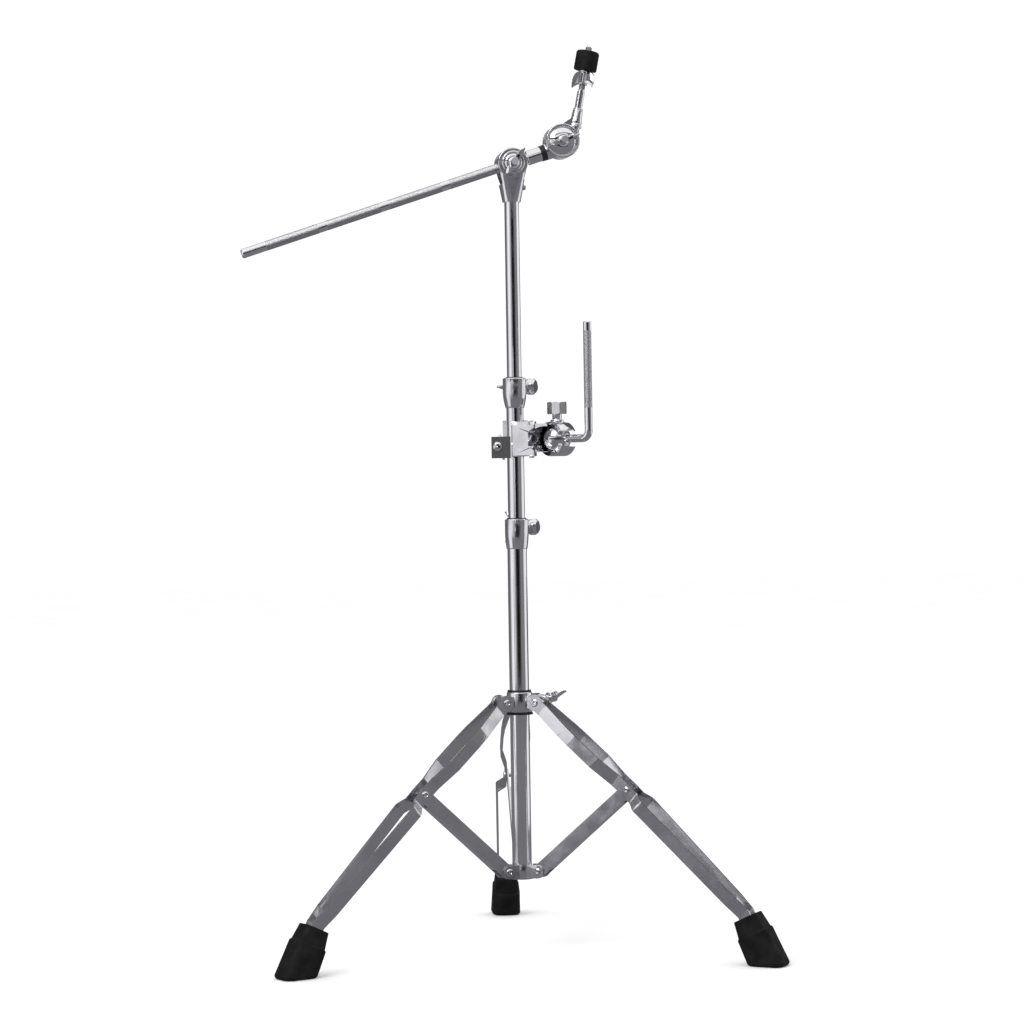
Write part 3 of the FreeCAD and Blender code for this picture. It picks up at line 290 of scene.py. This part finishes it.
def soften_edges(name):
    """Small rounding on a node's sharp edges, so that they catch the light as real ones do."""
    for kind, words in SOFT_EDGES.items():
        if not any(word in name for word in words):
            continue
        node = nodes[name]
        weld = node.modifiers.new("weld", "WELD")
        weld.merge_threshold = WELD_DISTANCE
        bevel = node.modifiers.new("bevel", "BEVEL")
        bevel.width = EDGE_WIDTHS[kind]
        bevel.segments = 2
        bevel.limit_method = "ANGLE"
        bevel.angle_limit = math.radians(SHARP_ANGLE)
        bevel.harden_normals = True
        return


# pieces that look other than their material slot says; the pad clamp body gets painted shade on its ear
LOOKS = {"l_rod_ball": "cast_chrome", "pad_clamp_body": "clamp_chrome_painted_shade"}


def paint_frame():
    """Each node gets its material and its softened edges."""
    slots = {
        "polished_chrome": polished_chrome(),
        "cast_chrome": cast_chrome(),
        "strip_chrome": strip_chrome(),
        "clamp_chrome_painted_shade": clamp_chrome_painted_shade(),
        "black_plastic": black_plastic(),
        "black_rubber": black_rubber(),
    }
    rods = rod_materials()
    for part in frame["record"]["subparts"]:
        name = part["node"]
        material = rods.get(name) or slots[LOOKS.get(name, part["material_slot"])]
        mesh = nodes[name].data
        mesh.materials.clear()
        mesh.materials.append(material)
        soften_edges(name)


paint_frame()


# ---- camera -----------------------------------------------------------------------------
VIEW_AZIMUTH = -9.0
VIEW_DISTANCE = 3.9
AIM_HEIGHT = 0.571
AIM_LEFT = 0.0058
EYE_RISE = 0.0416
FIELD_OF_VIEW = 19.37
ROLL = 0.92


def compass(angle):
    """Horizontal unit vector, an angle clockwise from straight away from the camera's azimuth."""
    a = math.radians(90 + VIEW_AZIMUTH - angle)
    return Vector((math.cos(a), math.sin(a), 0))


AWAY = compass(0)
RIGHT = compass(90)


def make_camera():
    """Camera a little to the left of the stand's front, slightly rolled."""
    data = bpy.data.cameras.new("camera")
    data.sensor_width = 36.0
    data.angle = math.radians(FIELD_OF_VIEW)
    camera = bpy.data.objects.new("camera", data)
    scene.collection.objects.link(camera)
    aim = RIGHT * -AIM_LEFT + Vector((0, 0, AIM_HEIGHT))
    eye = aim - AWAY * VIEW_DISTANCE + Vector((0, 0, EYE_RISE))
    look = (aim - eye).normalized()
    level = look.cross(Vector((0, 0, 1))).normalized()
    up = level.cross(look)
    roll = math.radians(ROLL)
    top = up * math.cos(roll) + level * math.sin(roll)
    side = look.cross(top)
    camera.matrix_world = Matrix.Translation(eye) @ Matrix((side, top, -look)).transposed().to_4x4()
    scene.camera = camera


make_camera()


# ---- studio -----------------------------------------------------------------------------
def plain_material(name, color, glow=0.0):
    """Matt, with no highlights, and glowing if asked."""
    g = Graph(name, color, 0.0, 0.9)
    g.shader.inputs["Specular IOR Level"].default_value = 0.0
    g.shader.inputs["Emission Color"].default_value = (*color, 1)
    g.shader.inputs["Emission Strength"].default_value = glow
    return g.material


def stage_mesh(name, corners, material):
    """Flat sheet that belongs to the studio."""
    mesh = bpy.data.meshes.new(name)
    mesh.from_pydata([tuple(c) for c in corners], [], [tuple(range(len(corners)))])
    mesh.materials.append(material)
    piece = bpy.data.objects.new(name, mesh)
    scene.collection.objects.link(piece)
    return piece


def reflection_card(name, from_angle, to_angle, low, high, level, distance):
    """Upright card round the stand that only reflections see, from one angle off the lens to another."""
    material = plain_material(name, (level, level, level * 1.03), 1.0)
    material.node_tree.nodes["Principled BSDF"].inputs["Base Color"].default_value = (0, 0, 0, 1)
    steps = max(2, int((to_angle - from_angle) / 6) + 1)
    mesh = bpy.data.meshes.new(name)
    points = []
    for k in range(steps + 1):
        way = compass(180 - (from_angle + (to_angle - from_angle) * k / steps)) * distance
        points += [(way.x, way.y, low), (way.x, way.y, high)]
    faces = [(2 * k, 2 * k + 2, 2 * k + 3, 2 * k + 1) for k in range(steps)]
    mesh.from_pydata(points, [], faces)
    mesh.materials.append(material)
    piece = bpy.data.objects.new(name, mesh)
    scene.collection.objects.link(piece)
    only_reflections(piece)


WORLD_STRENGTH = 1.04
FLOOR_REACH = 14.0
FLOOR_HEIGHT = -0.0004
KEY_SIZE = 2.4
KEY_POWER = 60
KEY_ANGLE = 220
KEY_DISTANCE = 3.2
KEY_HEIGHT = 3.4
KEY_AIM_HEIGHT = 0.6

# name, first and last angle off the lens, bottom, top, brightness, distance
CARDS = (
    ("card_left_edge", -170, -98, 0.0, 5.0, 0.15, 5.0),
    ("card_left_soft", -98, -84, 0.0, 5.0, 0.46, 5.0),
    ("card_left_bright", -84, -50, 0.0, 0.9, 0.98, 1.4),
    ("card_left_fade", -46, -34, 0.0, 1.9, 0.74, 5.0),
    ("card_front_fade", -34, -20, 0.0, 1.7, 0.38, 5.0),
    ("card_front_shade", -20, -7, 0.0, 1.6, 0.06, 5.0),
    ("card_front_patch", -21, -11, 0.5, 1.0, 0.8, 4.9),
    ("card_front_dark", -7, 20, 0.0, 1.46, 0.008, 5.0),
    ("card_front_grey", -7, 34, 1.46, 1.64, 0.42, 4.98),
    ("card_front_high", -12, 34, 1.64, 2.5, 0.02, 4.98),
    ("card_right_shade", 20, 34, 0.0, 1.64, 0.075, 5.0),
    ("card_right_grey", 34, 80, 0.0, 4.5, 0.23, 5.0),
    ("card_right_bright", 82, 120, 0.0, 0.9, 0.95, 1.4),
    ("card_right_edge", 132, 170, 0.0, 5.0, 0.1, 5.0),
    ("card_high_left", -172, -26, 2.3, 6.0, 0.2, 5.0),
    ("card_high_dark", -180, 180, 2.0, 2.45, 0.03, 5.01),
    ("card_high_grey", -180, 180, 3.4, 4.4, 0.3, 5.01),
)


def only_reflections(piece):
    """Keep a studio piece out of everything but mirror-like reflections."""
    piece.visible_camera = False
    piece.visible_diffuse = False
    piece.visible_shadow = False
    piece.visible_transmission = False


def make_studio():
    """White surround, pale floor, reflection cards and one soft key light."""
    world = bpy.data.worlds.new("studio")
    world.use_nodes = True
    background = world.node_tree.nodes["Background"]
    background.inputs["Color"].default_value = (1.0, 1.0, 1.0, 1)
    background.inputs["Strength"].default_value = WORLD_STRENGTH
    scene.world = world
    scene.view_settings.view_transform = "Standard"
    ways = ((-1, -1), (1, -1), (1, 1), (-1, 1))
    floor_corners = [Vector((x * FLOOR_REACH, y * FLOOR_REACH, FLOOR_HEIGHT)) for x, y in ways]
    g = Graph("floor_paper", (0.94, 0.94, 0.94), 0.0, 0.9)
    g.shader.inputs["Specular IOR Level"].default_value = 0.0
    g.colors(g.noise(3, 3), (0.945, 0.945, 0.945), (0.965, 0.965, 0.965))
    stage_mesh("floor", floor_corners, g.material)
    low_card = stage_mesh(
        "floor_in_reflections", [c * 0.9 + Vector((0, 0, 0.0006)) for c in floor_corners],
        plain_material("floor_in_reflections", (0.0, 0.0, 0.0)),
    )
    shader = low_card.data.materials[0].node_tree.nodes["Principled BSDF"]
    shader.inputs["Emission Color"].default_value = (0.20, 0.20, 0.21, 1)
    shader.inputs["Emission Strength"].default_value = 1.0
    only_reflections(low_card)
    for name, start, end, low, high, level, distance in CARDS:
        reflection_card(name, start, end, low, high, level, distance)
    key = bpy.data.lights.new("key", "AREA")
    key.shape = "RECTANGLE"
    key.size = KEY_SIZE
    key.size_y = KEY_SIZE
    key.energy = KEY_POWER
    lamp = bpy.data.objects.new("key", key)
    lamp.location = compass(KEY_ANGLE) * KEY_DISTANCE + Vector((0, 0, KEY_HEIGHT))
    aim = Vector((0, 0, KEY_AIM_HEIGHT)) - lamp.location
    lamp.rotation_euler = aim.to_track_quat("-Z", "Y").to_euler()
    scene.collection.objects.link(lamp)


make_studio()


# ---- sizes: write_sizes only imports json and writes nothing ----------------------------
def write_sizes():
    import json


write_sizes()
